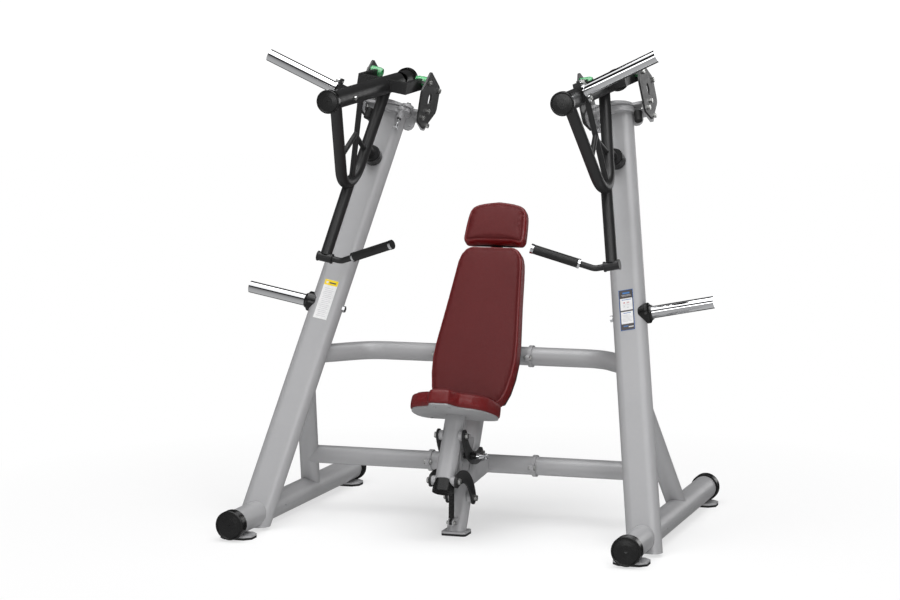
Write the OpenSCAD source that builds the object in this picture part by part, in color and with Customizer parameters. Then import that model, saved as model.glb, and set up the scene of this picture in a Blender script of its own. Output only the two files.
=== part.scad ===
// Plate-loaded shoulder press machine.
// Millimetres, +Z up, the user faces -Y, X = 0 is the plane of symmetry.
// Origin on the floor under the middle of the machine.

/* [Frame] */
// half distance between the two runners
runner_x = 812; // [790:1:830]
// runner tube radius
runner_r = 51; // [48:0.5:52]
// overall length of a runner with its caps
runner_len = 1450; // [1420:10:1480]
// inward lean of each side of the frame, degrees
lean_in = 11.1; // [10.8:0.1:11.4]
// backward lean of the uprights, degrees
lean_back = 25.3; // [25:0.1:25.6]
// upright width
upright_w = 140; // [136:1:144]
// upright depth
upright_d = 76; // [74:1:78]
// radius of the four cross tube lengths
cross_r = 38.5; // [37:0.5:39]
// wall of the frame tubes
frame_wall = 4; // [3:0.5:5]

/* [Seat] */
// backward lean of the seat column and back pad, degrees
column_lean = 30; // [29.5:0.5:30.5]
// forward-up tilt of the seat, degrees
seat_tilt = 19; // [18:0.5:20]
// back and head pad thickness
pad_t = 60; // [55:1:62]
// seat pad thickness
seat_t = 64; // [58:1:66]
// length of the seat links between pivots
link_len = 242; // [240:1:244]

/* [Press arms] */
// main tube radius
arm_r = 38; // [37:0.5:38.5]
// press tube radius
press_r = 24; // [23:0.5:24.5]
// plate sleeve radius
sleeve_r = 25; // [24.5:0.1:25]
// grip radius
grip_r = 19; // [18:0.5:20]
// swivel each way, degrees (sets the guide slot length)
swivel_each_way = 8; // [6:0.5:8]

/* [Hidden] */
$fn = 48;
eps = 0.01;
weld_gap = 0.05;
run_gap = 0.05;
move_gap = 0.5;

silver = [0.66, 0.67, 0.68];
graphite = [0.16, 0.16, 0.17];
black = [0.07, 0.07, 0.07];
chrome = [0.86, 0.87, 0.88];
zinc = [0.74, 0.75, 0.72];
green = [0.15, 0.62, 0.25];
maroon = [0.42, 0.05, 0.08];
white = [0.92, 0.92, 0.92];

// runners and feet
runner_z = 66;
cap_r = 59;
cap_len = 45;
cap_floor = 12;
foot_y = runner_len / 2 - 98;
foot_w = 136;
foot_l = 104;
foot_chamfer = 26;
rubber_t = 9;
foot_plate_t = 8;
drain_r = 4;
drain_y = [-362, -240];

// uprights: foot point of the axis and distances along it
upright_y = -427;
upright_top = 1808;
upright_cut_z = 14;
storage_s = 922;
storage_end = 353;
storage_collar = 26;
storage_stub_r = 20;

// braces and cross tubes
brace_r = 40.5;
brace_foot = [0, 155, 40];
brace_lean = 31;
brace_len = 640;
lower_y = 78;
lower_z = 231;
lower_flange_x = 227;
upper_y = 108;
upper_z = 685;
upper_flange_x = 200;
upper_bend_x = 430;
upper_bend_r = 160;
upper_bend_deg = 50;
flange_t = 8;
flange_ear = 56;
flange_bolt_y = 54;

// seat column, measured along its own axis from its foot
column_foot = [0, -293, 9];
column_w = 80;
column_d = 60;
column_top = 1130;
rear_pivot_y = -14;
rear_pivot_s = [145, 339];
link_slope = 25.5;
link_in = 50;
link_t = 8;
spacer_r = 20;
pin_r = 8;
head_h = 7;
head_r = 12.5;
link_head_h = 12;

// back and head pads in the column frame
pad_back_y = -83;
back_low_s = 496;
back_high_s = 1218;
head_low_s = 1230;

// seat carrier in its own frame (origin at the lower front pivot)
carrier_y = 8;
carrier_top = 290;
cap_cut = 34;
gas_foot = [0, -358, 60];
gas_top_y = 52.1;
gas_top_s = 115.8;
gas_len = 259.2;
gas_tilt = 2.44;
gas_eye_r = 11.5;
gas_body_r = 11;
gas_body_len = 170;
gas_rod_r = 5;
gas_rod_len = 175;
gas_eye_hole_r = 7.5;
gas_pin_r = 4;

// index pin on the right upper link, in link coordinates
index_x = 132;
index_y = -50;
index_pin_r = 6;
index_plate_in = 14;
index_plate_t = 8;

// swivel head, distances along the upright axis
base_s = 1808;
base_t = 24;
swivel_s = 1834;
swivel_t = 12;
swivel_r = 84;
guide_tab_r = 27;
stud_r = 15;
guide_r = 95;
guide_deg = 34;
guide_pin_r = 6;
lock_r = 78;
lock_deg = 137;
lock_pin_r = 5;
bumper_a = 95;
bumper_w = 14;
bumper_r = 16.5;
bumper_s = [1764, 1811];

// side plates, a = distance from the middle of one arm
plate_in = 129.6;
plate_t = 8;
plate_head_h = 10;
plate_head_r = 11;
pivot_y = 393;
pivot_h = 1806;
arm_tilt = 4.8;
hub_y = -35;

// arm, in the arm frame (origin at the pivot, -y forward along the tube)
arm_front = -862;
arm_back = 84;
arm_z = -22;
arm_cap_r = 48;
yoke_y = -245;
yoke_t = 20;
yoke_low = -38;
yoke_high = 12;
yoke_out = 110;
hub_in = 77;
hub_r = 20;
u_centre_y = -473;
u_centre_z = -279;
u_bend_r = 128;
u_half_deg = 59.2;
u_leg_len = 345;
press_hub = [0, -620, -704.5];
press_hub_r = 19;
press_hub_half = 33;
horn_y = -656;
horn_z = -10.5;
horn_tilt = 14.1;
horn_end = 366;
horn_bolt_z = [-37, 35];
rod_r = 12.5;
rod_corner = 72;
rod_bend_r = 45;
grip_dir = [-179, -44, 104];
rod_turn = atan2(norm([grip_dir[1], grip_dir[2]]), -grip_dir[0]);
grip_start = 62;
grip_len = 206;
ring_len = 9;
puck_point = [0, -204, -337];
puck_rise = 30.1;
puck_r = 38;
puck_arm = 118;
puck_gap = 4.4;
puck_t = 47;

// ---------- helpers ----------

// solid round bar between two points
module bar(p, q, r) {
  d = q - p;
  len = norm(d);
  translate(p)
    rotate([0, acos(d[2] / len), atan2(d[1], d[0])])
      cylinder(h = len, r = r);
}

// flat-oval outline, wide along x
module oval(w, d) {
  translate([-(w - d) / 2, 0])
    circle(d = d);
  translate([(w - d) / 2, 0])
    circle(d = d);
  square([w - d, d], center = true);
}

// flat-oval tube along +z
module oval_tube(w, d, wall, len) {
  difference() {
    linear_extrude(len)
      oval(w, d);
    translate([0, 0, -1])
      linear_extrude(len + 2)
        oval(w - 2 * wall, d - 2 * wall);
  }
}

// cylinder along x, from x0 to x1
module rod_x(x0, x1, r) {
  translate([x0, 0, 0])
    rotate([0, 90, 0])
      cylinder(h = x1 - x0, r = r);
}

// hexagon head along x
module hex_x(x0, x1, r) {
  translate([x0, 0, 0])
    rotate([0, 90, 0])
      cylinder(h = x1 - x0, r = r, $fn = 6);
}

// plate outline drawn in the y-z plane, thick along x
module plate_x(x0, t) {
  translate([x0, 0, 0])
    rotate([90, 0, 90])
      linear_extrude(t)
        children();
}

// round tube bend about z; a hair slimmer than the straights it joins, and lapped into them
module tube_bend(bend_r, r, from, sweep) {
  lap = 1;
  step = 0.15;
  rotate_extrude(angle = sweep + 2 * lap, start = from - lap)
    translate([bend_r, 0])
      circle(r = r - step);
}

// the same parts on both sides of X = 0
module both_x() {
  children();
  mirror([1, 0, 0])
    children();
}

// one leaning side of the frame: x = outward, y = back, z = up the lean
module side_frame() {
  translate([runner_x, 0, runner_z])
    rotate([0, -lean_in, 0])
      children();
}

// frame of one upright: z runs up its axis
module upright_frame() {
  side_frame()
    translate([0, upright_y, 0])
      rotate([-lean_back, 0, 0])
        children();
}

// frame of one arm at rest: origin at the press pivot
module arm_frame() {
  side_frame()
    translate([0, pivot_y, pivot_h])
      rotate([arm_tilt, 0, 0])
        children();
}

// right side as modelled, left side mirrored
module sided(side) {
  if (side > 0) {
    children();
  } else {
    mirror([1, 0, 0])
      children();
  }
}

module column_frame() {
  translate(column_foot)
    rotate([-column_lean, 0, 0])
      children();
}

// frame of a seat link pair: x forward along the chord, drawn as [forward, up]
function rear_pivot(i) = [0,
  column_foot[1] + rear_pivot_s[i] * sin(column_lean) + rear_pivot_y * cos(column_lean),
  column_foot[2] + rear_pivot_s[i] * cos(column_lean) - rear_pivot_y * sin(column_lean)];
function front_pivot(i) = rear_pivot(i) + [0, -link_len * cos(link_slope), link_len * sin(link_slope)];

module link_frame(i) {
  translate(rear_pivot(i))
    rotate([-link_slope, 0, 0])
      children();
}

module carrier_frame() {
  translate(front_pivot(0))
    rotate([-column_lean, 0, 0])
      children();
}

module seat_frame() {
  carrier_frame()
    translate([0, carrier_y, carrier_top - 8])
      rotate([column_lean - seat_tilt, 0, 0])
        children();
}

// points of an arc, angles in degrees
function arc(c, r, a0, a1, n) =
  [for (i = [0:n]) c + r * [cos(a0 + (a1 - a0) * i / n), sin(a0 + (a1 - a0) * i / n)]];
// mirror a half outline (x >= 0, drawn bottom to top) into a closed one
function closed(half) =
  concat(half, [for (i = [len(half) - 1:-1:0]) [-half[i][0], half[i][1]]]);

// ---------- runners and feet ----------

module foot_outline() {
  w = foot_w / 2;
  l = foot_l / 2;
  c = foot_chamfer;
  polygon([[-w, -l + c], [-w + c, -l], [w - c, -l], [w, -l + c],
    [w, l - c], [w - c, l], [-w + c, l], [-w, l - c]]);
}

module at_feet() {
  for (y = [-foot_y, foot_y])
    translate([runner_x, y, 0])
      children();
}

module runners() {
  color(silver)
    both_x()
      difference() {
        union() {
          translate([runner_x, 0, runner_z])
            rotate([90, 0, 0])
              cylinder(h = runner_len - 2 * cap_floor, r = runner_r, center = true);
          at_feet()
            translate([0, 0, rubber_t])
              linear_extrude(foot_plate_t)
                foot_outline();
        }
        translate([runner_x, 0, runner_z])
          rotate([90, 0, 0])
            cylinder(h = runner_len, r = runner_r - frame_wall, center = true);
        for (y = drain_y)
          translate([runner_x, y, runner_z])
            rod_x(-runner_r - 5, runner_r + 5, drain_r);
      }
}

module runner_cap() {
  bore = runner_r + weld_gap;
  rotate([-90, 0, 0])
    rotate_extrude()
      polygon([[0, 2], [25, 2.6], [44, 4.6], [50, 5], [52, 1.2], [54.5, 0], [57.5, 0.8],
        [cap_r, 3], [cap_r, cap_len], [bore, cap_len], [bore, cap_floor], [0, cap_floor]]);
}

module runner_caps() {
  color(black)
    both_x()
      for (turn = [0, 180])
        translate([runner_x, 0, runner_z])
          rotate([0, 0, turn])
            translate([0, -runner_len / 2, 0])
              runner_cap();
}

module column_foot_outline() {
  corner = 14;
  half = [52, 46];
  for (sx = [-1, 1])
    for (sy = [-1, 1])
      translate([sx * (half[0] - corner), sy * (half[1] - corner)])
        circle(r = corner);
  square([2 * half[0], 2 * (half[1] - corner)], center = true);
  square([2 * (half[0] - corner), 2 * half[1]], center = true);
}

module foot_pads() {
  color(black) {
    both_x()
      at_feet()
        linear_extrude(rubber_t - weld_gap)
          foot_outline();
    translate([0, column_foot[1] + 2, 0])
      linear_extrude(rubber_t - weld_gap)
        column_foot_outline();
  }
}

// ---------- uprights, braces, cross tubes ----------

module floor_cut() {
  translate([runner_x - 300, upright_y - 400, -800])
    cube([600, 800, 800 + upright_cut_z]);
}

module runner_hole() {
  translate([runner_x, 0, runner_z])
    rotate([90, 0, 0])
      cylinder(h = runner_len, r = runner_r + weld_gap, center = true);
}

module upright_solid_local(grow) {
  translate([0, 0, -150])
    linear_extrude(upright_top + 150)
      oval(upright_w + 2 * grow, upright_d + 2 * grow);
}

module upright_solid(grow) {
  upright_frame()
    upright_solid_local(grow);
}

module uprights() {
  color(silver)
    both_x()
      difference() {
        upright_frame()
          translate([0, 0, -150])
            oval_tube(upright_w, upright_d, frame_wall + 1, upright_top + 150);
        floor_cut();
        runner_hole();
        upright_frame()
          translate([0, 0, storage_s])
            rod_x(-upright_w, upright_w, 10);
      }
}

module brace_bar(r) {
  side_frame()
    translate(brace_foot)
      rotate([brace_lean, 0, 0])
        translate([0, 0, -60])
          cylinder(h = brace_len, r = r);
}

module braces() {
  color(silver)
    both_x()
      difference() {
        brace_bar(brace_r);
        brace_bar(brace_r - frame_wall);
        runner_hole();
        upright_solid(weld_gap);
        upright_frame()
          translate([-200, -400, -200])
            cube([400, 400, 2200]);
        translate([runner_x - 300, brace_foot[1] - 200, -200])
          cube([600, 500, 200 + runner_z]);
      }
}

// two-bolt flange plate, from x0 to x0 + flange_t
module flange(x0) {
  plate_x(x0, flange_t)
    difference() {
      union() {
        circle(r = cross_r + 7);
        for (sy = [-1, 1])
          translate([sy * flange_bolt_y, 0])
            circle(r = 13);
        square([2 * flange_bolt_y, 26], center = true);
      }
      for (sy = [-1, 1])
        translate([sy * flange_bolt_y, 0])
          circle(r = 6);
    }
}

module lower_cross_ends() {
  color(silver)
    both_x()
      difference() {
        translate([0, lower_y, lower_z])
          difference() {
            union() {
              rod_x(lower_flange_x + flange_t / 2, runner_x, cross_r);
              flange(lower_flange_x + weld_gap);
            }
            rod_x(lower_flange_x - 1, runner_x + 1, cross_r - frame_wall);
          }
        brace_bar(brace_r + weld_gap);
        side_frame()
          translate([0, -400, -300])
            cube([400, 900, 900]);
      }
}

module column_solid(grow) {
  column_frame()
    translate([0, 0, -40])
      linear_extrude(column_top + 41)
        oval(column_w + 2 * grow, column_d + 2 * grow);
}

module lower_cross_mid() {
  gusset_half = 34;
  gusset_len = 240;
  gusset_wall = 5;
  color(silver)
    difference() {
      translate([0, lower_y, lower_z]) {
        rod_x(-lower_flange_x + flange_t / 2, lower_flange_x - flange_t / 2, cross_r);
        both_x()
          flange(lower_flange_x - flange_t);
        difference() {
          plate_x(-gusset_half, 2 * gusset_half)
            polygon([[-gusset_len, -46], [-gusset_len, 34], [0, 26], [0, -26]]);
          rod_x(-gusset_half - 1, gusset_half + 1, cross_r - frame_wall);
          translate([0, -gusset_len, 0])
            cube([2 * (gusset_half - gusset_wall), 380, 200], center = true);
        }
        for (sz = [[-46, -26], [34, 26]])
          plate_x(-gusset_half, 2 * gusset_half)
            polygon([[-gusset_len, sz[0] - gusset_wall * sign(sz[0])], [-gusset_len, sz[0]],
              [-cross_r + 8, sz[1] * 1.05], [-cross_r + 8, sz[1] - gusset_wall * sign(sz[1])]]);
      }
      translate([0, lower_y, lower_z])
        rod_x(-lower_flange_x - 1, lower_flange_x + 1, cross_r - frame_wall);
      column_solid(weld_gap);
      column_frame()
        translate([-200, -400, -100])
          cube([400, 400, 1200]);
    }
}

// centre line of a bent upper cross tube, from x0 outward
module upper_cross_bar(x0, r) {
  rod_x(x0, upper_bend_x, r);
  translate([upper_bend_x, -upper_bend_r, 0]) {
    tube_bend(upper_bend_r, r, 90 - upper_bend_deg, upper_bend_deg);
    rotate([0, 0, -upper_bend_deg])
      translate([0, upper_bend_r, 0])
        rod_x(0, 300, r);
  }
}

module upper_cross_ends() {
  color(silver)
    both_x()
      difference() {
        translate([0, upper_y, upper_z])
          difference() {
            union() {
              upper_cross_bar(upper_flange_x + flange_t / 2, cross_r);
              flange(upper_flange_x + weld_gap);
            }
            upper_cross_bar(upper_flange_x - 1, cross_r - frame_wall);
          }
        upright_solid(weld_gap);
        upright_frame()
          translate([-200, -600, -200])
            cube([600, 600, 2200]);
      }
}

module upper_cross_mid() {
  color(silver)
    difference() {
      translate([0, upper_y, upper_z]) {
        rod_x(-upper_flange_x + flange_t / 2, upper_flange_x - flange_t / 2, cross_r);
        both_x()
          flange(upper_flange_x - flange_t);
      }
      translate([0, upper_y, upper_z])
        rod_x(-upper_flange_x - 1, upper_flange_x + 1, cross_r - frame_wall);
      column_solid(weld_gap);
    }
}

// ---------- seat column and its fittings ----------

// two lug plates for the gas spring foot
module gas_foot_lugs() {
  for (x = [-11.5, 6.5])
    translate([0, gas_foot[1], gas_foot[2]])
      plate_x(x, 5)
        difference() {
          union() {
            circle(r = 12);
            translate([0, -12])
              square([90, 24]);
          }
          circle(r = gas_pin_r + weld_gap);
        }
}

module seat_column() {
  color(silver) {
    difference() {
      union() {
        column_frame()
          translate([0, 0, -40])
            linear_extrude(column_top + 40)
              oval(column_w, column_d);
        difference() {
          gas_foot_lugs();
          column_solid(-frame_wall);
        }
        for (i = [0, 1])
          translate(rear_pivot(i))
            both_x()
              rod_x(column_w / 2 - 8, link_in - move_gap, spacer_r);
      }
      column_frame()
        translate([0, 0, -41])
          linear_extrude(column_top + 36)
            oval(column_w - 2 * frame_wall, column_d - 2 * frame_wall);
      for (i = [0, 1])
        translate(rear_pivot(i))
          rod_x(-link_in, link_in, pin_r + weld_gap);
      translate([-200, column_foot[1] - 200, -200])
        cube([400, 400, 200 + rubber_t]);
    }
    difference() {
      translate([0, column_foot[1] + 2, rubber_t])
        linear_extrude(foot_plate_t)
          column_foot_outline();
      column_solid(-frame_wall);
    }
  }
}

// foot block of the index plate, on the front of the column
module index_block(grow) {
  column_frame()
    translate([-28 - grow, -column_d / 2 - 7 - grow, 232 - grow])
      cube([56 + 2 * grow, 7 - weld_gap + 2 * grow, 64 + 2 * grow]);
}

// index plate: a sector around the upper rear pivot with one hole per seat height
module index_plate() {
  centre = rear_pivot(1);
  reach = norm([index_x, index_y]);
  rest_deg = link_slope + atan2(index_y, index_x);
  outer = reach + 18;
  color(silver) {
    difference() {
      translate(centre)
        plate_x(index_plate_in, index_plate_t)
          polygon(concat([[20, -60], [20, 60]],
            arc([0, 0], outer, 180 - rest_deg - 26, 180 - rest_deg + 26, 16)));
      column_solid(weld_gap);
      index_block(weld_gap);
      column_frame()
        translate([-100, -10, 0])
          cube([200, 300, 600]);
      for (step = [-15:7.5:15])
        translate(centre + reach * [0, -cos(rest_deg + step), sin(rest_deg + step)])
          rod_x(0, 40, index_pin_r + 0.6);
    }
    difference() {
      index_block(0);
      column_frame()
        translate([0, -column_d / 2 - 20, 255])
          rotate([-90, 0, 0])
            cylinder(h = 20, r = 6 + weld_gap);
    }
  }
}

// hexagon bolt through a joint: head at x0, nut beyond x1
module through_bolt(x0, x1, shank, head) {
  rod_x(x0 - eps, x1 + eps, shank);
  hex_x(x0 - head_h, x0, head);
  hex_x(x1, x1 + head_h, head);
}

module frame_bolts() {
  color(zinc) {
    both_x() {
      for (sy = [-1, 1]) {
        translate([0, lower_y + sy * flange_bolt_y, lower_z])
          through_bolt(lower_flange_x - flange_t - weld_gap,
            lower_flange_x + flange_t + 2 * weld_gap, 5.8, 9);
        translate([0, upper_y + sy * flange_bolt_y, upper_z])
          through_bolt(upper_flange_x - flange_t - weld_gap,
            upper_flange_x + flange_t + 2 * weld_gap, 5.8, 9);
      }
      upright_frame()
        head_spoke(180 - guide_deg)
          guide_bolt();
    }
    for (i = [0, 1])
      translate(rear_pivot(i)) {
        rod_x(-link_in - link_t - move_gap, link_in + link_t + move_gap, pin_r);
        both_x()
          hex_x(link_in + link_t + move_gap - eps, link_in + link_t + move_gap + link_head_h, head_r);
      }
    translate(gas_foot)
      through_bolt(-11.5 - weld_gap, 11.5 + weld_gap, gas_pin_r, 8);
    column_frame()
      translate([0, -column_d / 2 - 7 - weld_gap, 255])
        rotate([90, 0, 0]) {
          cylinder(h = head_h, r = 9, $fn = 6);
          translate([0, 0, -7])
            cylinder(h = 8, r = 6);
        }
  }
}

// guide bolt that stands in the arc slot, drawn along +x of a turned frame
module guide_bolt() {
  translate([guide_r, 0, base_s + base_t + weld_gap])
    cylinder(h = swivel_s + swivel_t - base_s - base_t + 2, r = guide_pin_r);
  translate([guide_r, 0, swivel_s + swivel_t + 1])
    cylinder(h = 10, r = 10, $fn = 6);
}

// ---------- plate storage ----------

module storage_horns() {
  start = upright_w / 2 + storage_collar + weld_gap;
  plug = 6;
  color(chrome)
    both_x()
      upright_frame()
        translate([0, 0, storage_s]) {
          difference() {
            rod_x(start, storage_end, sleeve_r);
            rod_x(start + plug, storage_end - plug, sleeve_r - 4);
          }
          rod_x(upright_w / 2 + 13, start + 2, storage_stub_r);
          rod_x(-upright_w / 2 - 4, start + 3, 9.5);
          hex_x(-upright_w / 2 - 12, -upright_w / 2 - 0.5, 14);
        }
}

module storage_collars() {
  face = upright_w / 2;
  color(black)
    both_x()
      difference() {
        upright_frame()
          translate([0, 0, storage_s])
            rotate([0, 90, 0])
              rotate_extrude()
                polygon([[9.6, face - 26], [38, face - 26], [42, face + 3], [42, face + 12],
                  [36, face + 17], [32, face + 19], [30, face + storage_collar],
                  [storage_stub_r + weld_gap, face + storage_collar],
                  [storage_stub_r + weld_gap, face + 12], [9.6, face + 12]]);
        upright_solid(weld_gap);
      }
}

module placards() {
  color(white)
    both_x()
      upright_frame()
        translate([-30, -upright_d / 2 - 1.2, 848])
          cube([60, 1.1, 174]);
}

// ---------- swivel heads ----------

// a turned frame: +x points at the given angle, 0 = outward, 90 = forward
module head_spoke(deg) {
  rotate([0, 0, -deg])
    children();
}

// ears on both sides of a head base, facing forward
module base_ears() {
  both_x()
    translate([0, 2, 0])
      rotate([-90, 0, 0])
        linear_extrude(16)
          polygon([[60, -base_s - 12], [108, -base_s - 11], [108, -base_s + 26], [102, -base_s + 40],
            [90, -base_s + 48], [74, -base_s + 48], [60, -base_s + 40]]);
}

module head_bases() {
  bosses = [[180 - guide_deg, guide_r, 14], [lock_deg, lock_r, 22]];
  nut_s = swivel_s + swivel_t + move_gap;
  color(silver)
    both_x()
      upright_frame()
        difference() {
          union() {
            translate([0, 0, base_s + weld_gap])
              linear_extrude(base_t - weld_gap)
                oval(166, 132);
            base_ears();
            for (p = bosses)
              head_spoke(p[0])
                translate([p[1], 0, base_s + 8])
                  cylinder(h = base_t - 9, r = p[2]);
            head_spoke(lock_deg)
              translate([lock_r, 0, base_s - 25])
                cylinder(h = base_t + 20, r = 13.5);
            translate([0, -54, base_s - 6])
              cylinder(h = 8, r = 9, $fn = 6);
            translate([-93, -5, base_s - 26])
              rotate([-90, 0, 0])
                cylinder(h = 10, r = 8, $fn = 6);
            translate([0, 0, base_s + base_t - 1])
              cylinder(h = nut_s - base_s - base_t + 1, r = stud_r);
            translate([0, 0, nut_s - eps])
              cylinder(h = 6, r = 26);
            translate([0, 0, nut_s + 6 - 2 * eps])
              cylinder(h = 5, r = 15, $fn = 6);
          }
          head_spoke(lock_deg)
            translate([lock_r, 0, base_s - 30])
              cylinder(h = base_t + 40, r = lock_pin_r + run_gap);
          upright_solid_local(weld_gap);
          translate([bumper_a, -bumper_w, 0])
            cylinder(h = 4000, r = bumper_r + weld_gap);
        }
}

// lug outline around the three plate bolts, in the y-z plane of the upright frame
lug_bolts = [[36, 1872], [-5, 1823], [82, 1823]];

module swivel_plate(side) {
  lug_t = 12;
  slot_half = swivel_each_way + asin((guide_pin_r + 1) / guide_r);
  lug_in = plate_in - lug_t - weld_gap;
  color(silver)
    sided(side)
      upright_frame()
        difference() {
          union() {
            translate([0, 0, swivel_s])
              linear_extrude(swivel_t)
                difference() {
                  union() {
                    circle(r = swivel_r);
                    head_spoke(180 - guide_deg)
                      translate([guide_r - 4, 0])
                        circle(r = guide_tab_r);
                    translate([-lug_in - 1, -32])
                      square([2 * lug_in + 2, 136]);
                  }
                  circle(r = stud_r + run_gap);
                }
            both_x()
              plate_x(lug_in, lug_t)
                hull()
                  for (p = lug_bolts)
                    translate(p)
                      circle(r = 24, $fn = 32);
          }
          head_spoke(180 - guide_deg)
            translate([0, 0, swivel_s - 1]) {
              rotate_extrude(angle = 2 * slot_half, start = -slot_half)
                translate([guide_r - guide_pin_r - 1, 0])
                  square([2 * guide_pin_r + 2, swivel_t + 2]);
            }
          head_spoke(lock_deg)
            translate([lock_r, 0, swivel_s - 1])
              cylinder(h = swivel_t + 2, r = lock_pin_r + 0.6);
          for (p = lug_bolts)
            translate([0, p[0], p[1]])
              rod_x(-200, 200, 6 + weld_gap);
        }
}

module swivel_plate_r() { swivel_plate(1); }
module swivel_plate_l() { swivel_plate(-1); }

// press axis on the side plates, as [back, up] in the side frame
press_pivot = [pivot_y + hub_y * cos(arm_tilt), pivot_h + hub_y * sin(arm_tilt)];

// window in each side plate
window_y = 407;
window_h = [1722, 1734];
window_r = 19;

// side plate outline in the side frame, drawn as [back, up]
module side_plate_outline() {
  difference() {
    polygon(concat(
      arc([372, 1822], 24, 150, 50, 6),
      arc([492, 1752], 36, 55, 0, 4),
      arc([494, 1688], 36, 0, -45, 4),
      arc([398, 1622], 22, -52, -112, 4),
      arc([322, 1654], 26, -118, -170, 4),
      arc([318, 1756], 32, 178, 145, 4)));
    translate(press_pivot)
      circle(r = pin_r + weld_gap);
    for (h = window_h)
      translate([window_y, h])
        circle(r = window_r);
    translate([window_y - window_r, window_h[0]])
      square([2 * window_r, window_h[1] - window_h[0]]);
  }
}

// the bolt of a side plate that sits above the lug, as [back, up] in the side frame
stop_bolt = [505, 1763];

module side_plates(side) {
  color(graphite)
    sided(side)
      difference() {
        side_frame()
          for (x0 = [-plate_in - plate_t, plate_in])
            plate_x(x0, plate_t)
              side_plate_outline();
        upright_frame()
          for (p = lug_bolts)
            translate([0, p[0], p[1]])
              rod_x(-200, 200, 6 + weld_gap);
        side_frame()
          translate([0, stop_bolt[0], stop_bolt[1]])
            rod_x(-200, 200, 6 + weld_gap);
      }
}

module side_plates_r() { side_plates(1); }
module side_plates_l() { side_plates(-1); }

module swivel_bolts(side) {
  face = plate_in + plate_t + weld_gap;
  lug_face = plate_in - 12 - 2 * weld_gap;
  color(zinc)
    sided(side) {
      both_ends_x()
        side_frame()
          translate([0, press_pivot[0], press_pivot[1]]) {
            rod_x(hub_in + 4, face + eps, pin_r);
            hex_x(face, face + plate_head_h, 12);
          }
      both_ends_x()
        upright_frame()
          for (p = lug_bolts)
            translate([0, p[0], p[1]]) {
              rod_x(lug_face - eps, face + eps, 6);
              hex_x(face, face + plate_head_h, plate_head_r);
              hex_x(lug_face - head_h, lug_face, 9);
            }
      both_ends_x()
        side_frame()
          translate([0, stop_bolt[0], stop_bolt[1]]) {
            rod_x(plate_in - 8, face + eps, 6);
            hex_x(face, face + plate_head_h, plate_head_r);
            hex_x(plate_in - 14, plate_in - weld_gap, 9);
          }
    }
}

// the same bolt on the outer and the inner side plate of one head
module both_ends_x() {
  children();
  side_frame()
    mirror([1, 0, 0])
      rotate([0, lean_in, 0])
        translate([-runner_x, 0, -runner_z])
          children();
}

module swivel_bolts_r() { swivel_bolts(1); }
module swivel_bolts_l() { swivel_bolts(-1); }

module swivel_bumpers() {
  color(black)
    both_x()
      upright_frame()
        translate([bumper_a, -bumper_w, bumper_s[0]])
          rotate_extrude()
            polygon([[0, 0], [bumper_r - 2, 0], [bumper_r, 2], [bumper_r, bumper_s[1] - bumper_s[0] - 2],
              [bumper_r - 2, bumper_s[1] - bumper_s[0]], [0, bumper_s[1] - bumper_s[0]]]);
}

module lock_pin(side) {
  low = base_s - 25 - move_gap;
  color(chrome)
    sided(side)
      upright_frame()
        head_spoke(lock_deg)
          translate([lock_r, 0, 0]) {
            translate([0, 0, low - 1])
              cylinder(h = swivel_s - move_gap - low + 1, r = lock_pin_r);
            translate([0, 0, low - 40])
              rotate_extrude()
                polygon([[0, 0], [5, 0], [5, 12], [8, 20], [10, 28], [10, 40], [0, 40]]);
            translate([0, 0, low - 50])
              for (a = [0:90:270])
                rotate([0, 0, a])
                  bar([0, 0, 8], [15, 0, 2], 3.5);
            translate([0, 0, low - 46])
              cylinder(h = 8, r = 6);
          }
}

module lock_pin_r() { lock_pin(1); }
module lock_pin_l() { lock_pin(-1); }

// ---------- press arms ----------

module arm_tube_solid(grow) {
  translate([0, arm_front + 6, arm_z])
    rotate([-90, 0, 0])
      cylinder(h = arm_back - arm_front - 12, r = arm_r + grow);
}

module arm_main(side) {
  color(graphite)
    sided(side)
      arm_frame()
        difference() {
          union() {
            arm_tube_solid(0);
            translate([-yoke_out, yoke_y, yoke_low])
              cube([2 * yoke_out, yoke_t, yoke_high - yoke_low]);
            both_x()
              translate([yoke_out - 16, yoke_y, yoke_low])
                cube([16, hub_y + 22 - yoke_y, yoke_high - yoke_low]);
            translate([0, horn_y, horn_z])
              rotate([0, -horn_tilt, 0]) {
                translate([0, -18, -40])
                  cube([40, 36, 64]);
                translate([34, -15, -51])
                  cube([12, 30, 96]);
              }
          }
          translate([0, arm_front, arm_z])
            rotate([-90, 0, 0])
              cylinder(h = arm_back - arm_front, r = arm_r - frame_wall);
          translate([0, hub_y, 0])
            rod_x(-200, 200, hub_r + 1 + weld_gap);
          translate([0, horn_y, arm_z])
            rod_x(-60, 0, 6 + weld_gap);
          translate([0, horn_y, horn_z])
            rotate([0, -horn_tilt, 0])
              for (sz = horn_bolt_z)
                translate([0, 0, sz])
                  rod_x(30, 60, 5 + weld_gap);
        }
}

module arm_main_r() { arm_main(1); }
module arm_main_l() { arm_main(-1); }

module u_bend(r) {
  translate([0, u_centre_y, u_centre_z])
    rotate([90, 0, 90]) {
      tube_bend(u_bend_r, r, 270 - u_half_deg, 2 * u_half_deg);
      for (turn = [-u_half_deg, u_half_deg])
        rotate([0, 0, turn])
          translate([0, -u_bend_r, 0])
            rotate([0, 90 * sign(turn), 0])
              cylinder(h = u_leg_len, r = r);
    }
}

// slim strut and its two short legs
module struts() {
  bar([0, -484, arm_z], [0, -441, -395], 12);
  bar([0, -470, -198], [0, -590, -268], 11);
  bar([0, -464, -210], [0, -325, -290], 10.6);
}

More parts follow.
